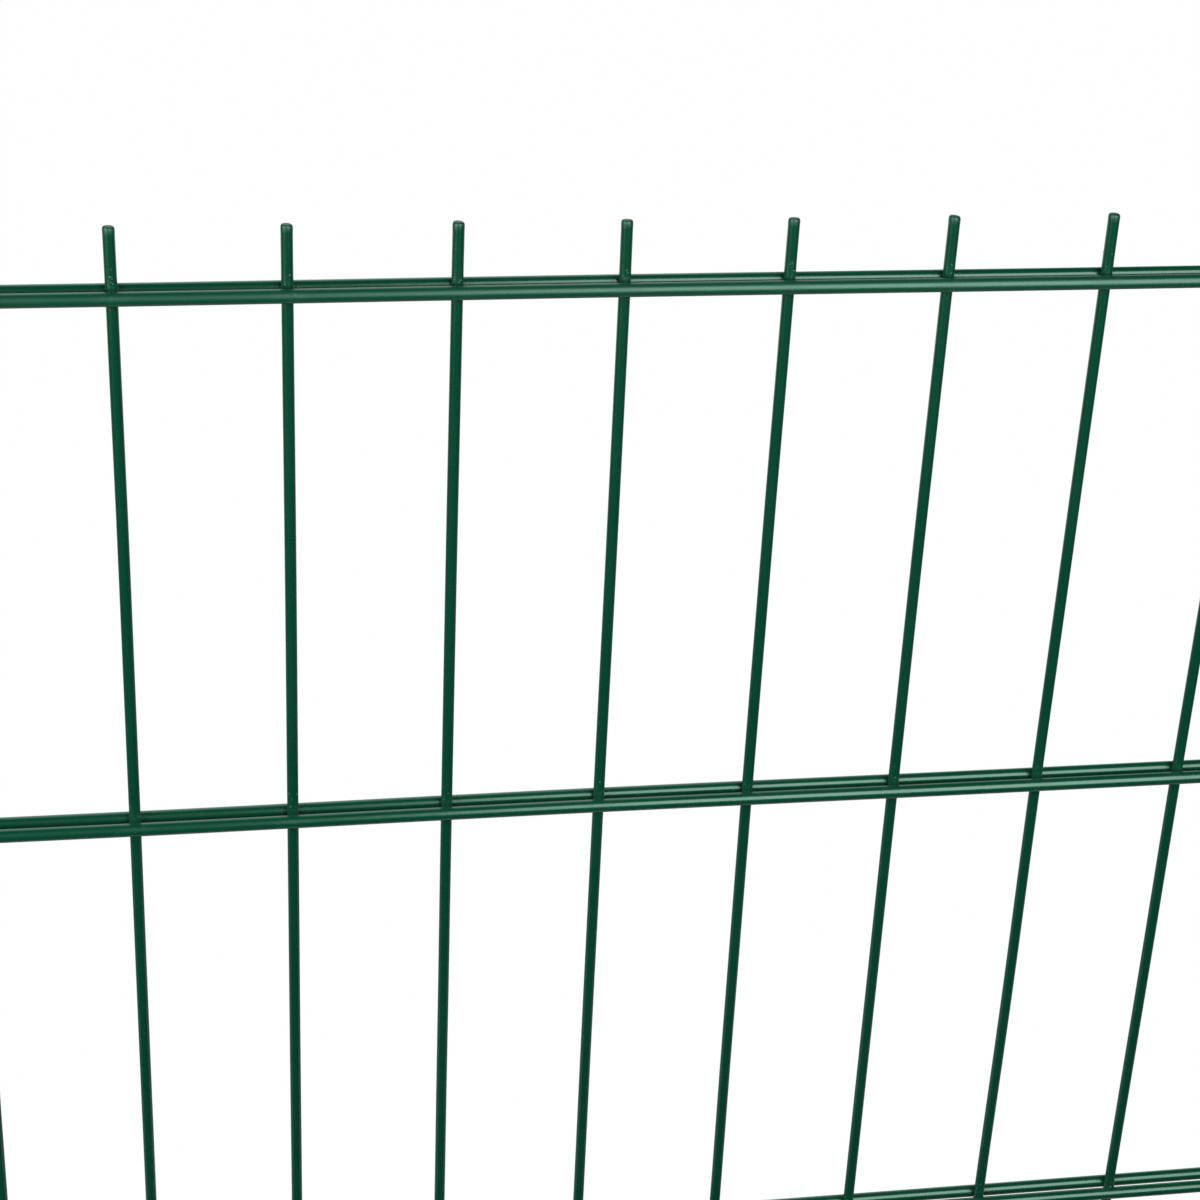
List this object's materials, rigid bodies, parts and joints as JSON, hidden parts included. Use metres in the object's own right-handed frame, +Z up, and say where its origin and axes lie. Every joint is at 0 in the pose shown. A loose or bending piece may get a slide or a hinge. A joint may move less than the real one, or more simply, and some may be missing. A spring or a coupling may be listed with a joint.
{
  "type": "twin wire welded mesh fence panel",
  "caption": "Flat welded mesh fence panel of upright round wires held between pairs of horizontal wires, with short wire tips above the top pair, powder coated green.",
  "frame": {"origin": "centre of the square cut foot of the middle vertical wire, on the panel's middle plane", "axes": "+X along the panel to the right as seen from the front, +Y through its thickness towards the back, +Z up"},
  "size_m": [2, 0.0124, 1.03],
  "materials": {
    "green_coating": "semi-gloss moss green powder coat with slight orange peel, over galvanized steel wire"
  },
  "bodies": {
    "root": {"vertical_wire_01": "green_coating", "vertical_wire_02": "green_coating", "vertical_wire_03": "green_coating", "vertical_wire_04": "green_coating", "vertical_wire_05": "green_coating", "vertical_wire_06": "green_coating", "vertical_wire_07": "green_coating", "vertical_wire_08": "green_coating", "vertical_wire_09": "green_coating", "vertical_wire_10": "green_coating", "vertical_wire_11": "green_coating", "vertical_wire_12": "green_coating", "vertical_wire_13": "green_coating", "vertical_wire_14": "green_coating", "vertical_wire_15": "green_coating", "vertical_wire_16": "green_coating", "vertical_wire_17": "green_coating", "vertical_wire_18": "green_coating", "vertical_wire_19": "green_coating", "vertical_wire_20": "green_coating", "vertical_wire_21": "green_coating", "vertical_wire_22": "green_coating", "vertical_wire_23": "green_coating", "vertical_wire_24": "green_coating", "vertical_wire_25": "green_coating", "vertical_wire_26": "green_coating", "vertical_wire_27": "green_coating", "vertical_wire_28": "green_coating", "vertical_wire_29": "green_coating", "vertical_wire_30": "green_coating", "vertical_wire_31": "green_coating", "vertical_wire_32": "green_coating", "vertical_wire_33": "green_coating", "vertical_wire_34": "green_coating", "vertical_wire_35": "green_coating", "vertical_wire_36": "green_coating", "vertical_wire_37": "green_coating", "front_horizontal_wire_1": "green_coating", "front_horizontal_wire_2": "green_coating", "front_horizontal_wire_3": "green_coating", "front_horizontal_wire_4": "green_coating", "front_horizontal_wire_5": "green_coating", "front_horizontal_wire_6": "green_coating", "back_horizontal_wire_1": "green_coating", "back_horizontal_wire_2": "green_coating", "back_horizontal_wire_3": "green_coating", "back_horizontal_wire_4": "green_coating", "back_horizontal_wire_5": "green_coating", "back_horizontal_wire_6": "green_coating"}
  },
  "joints": []
}
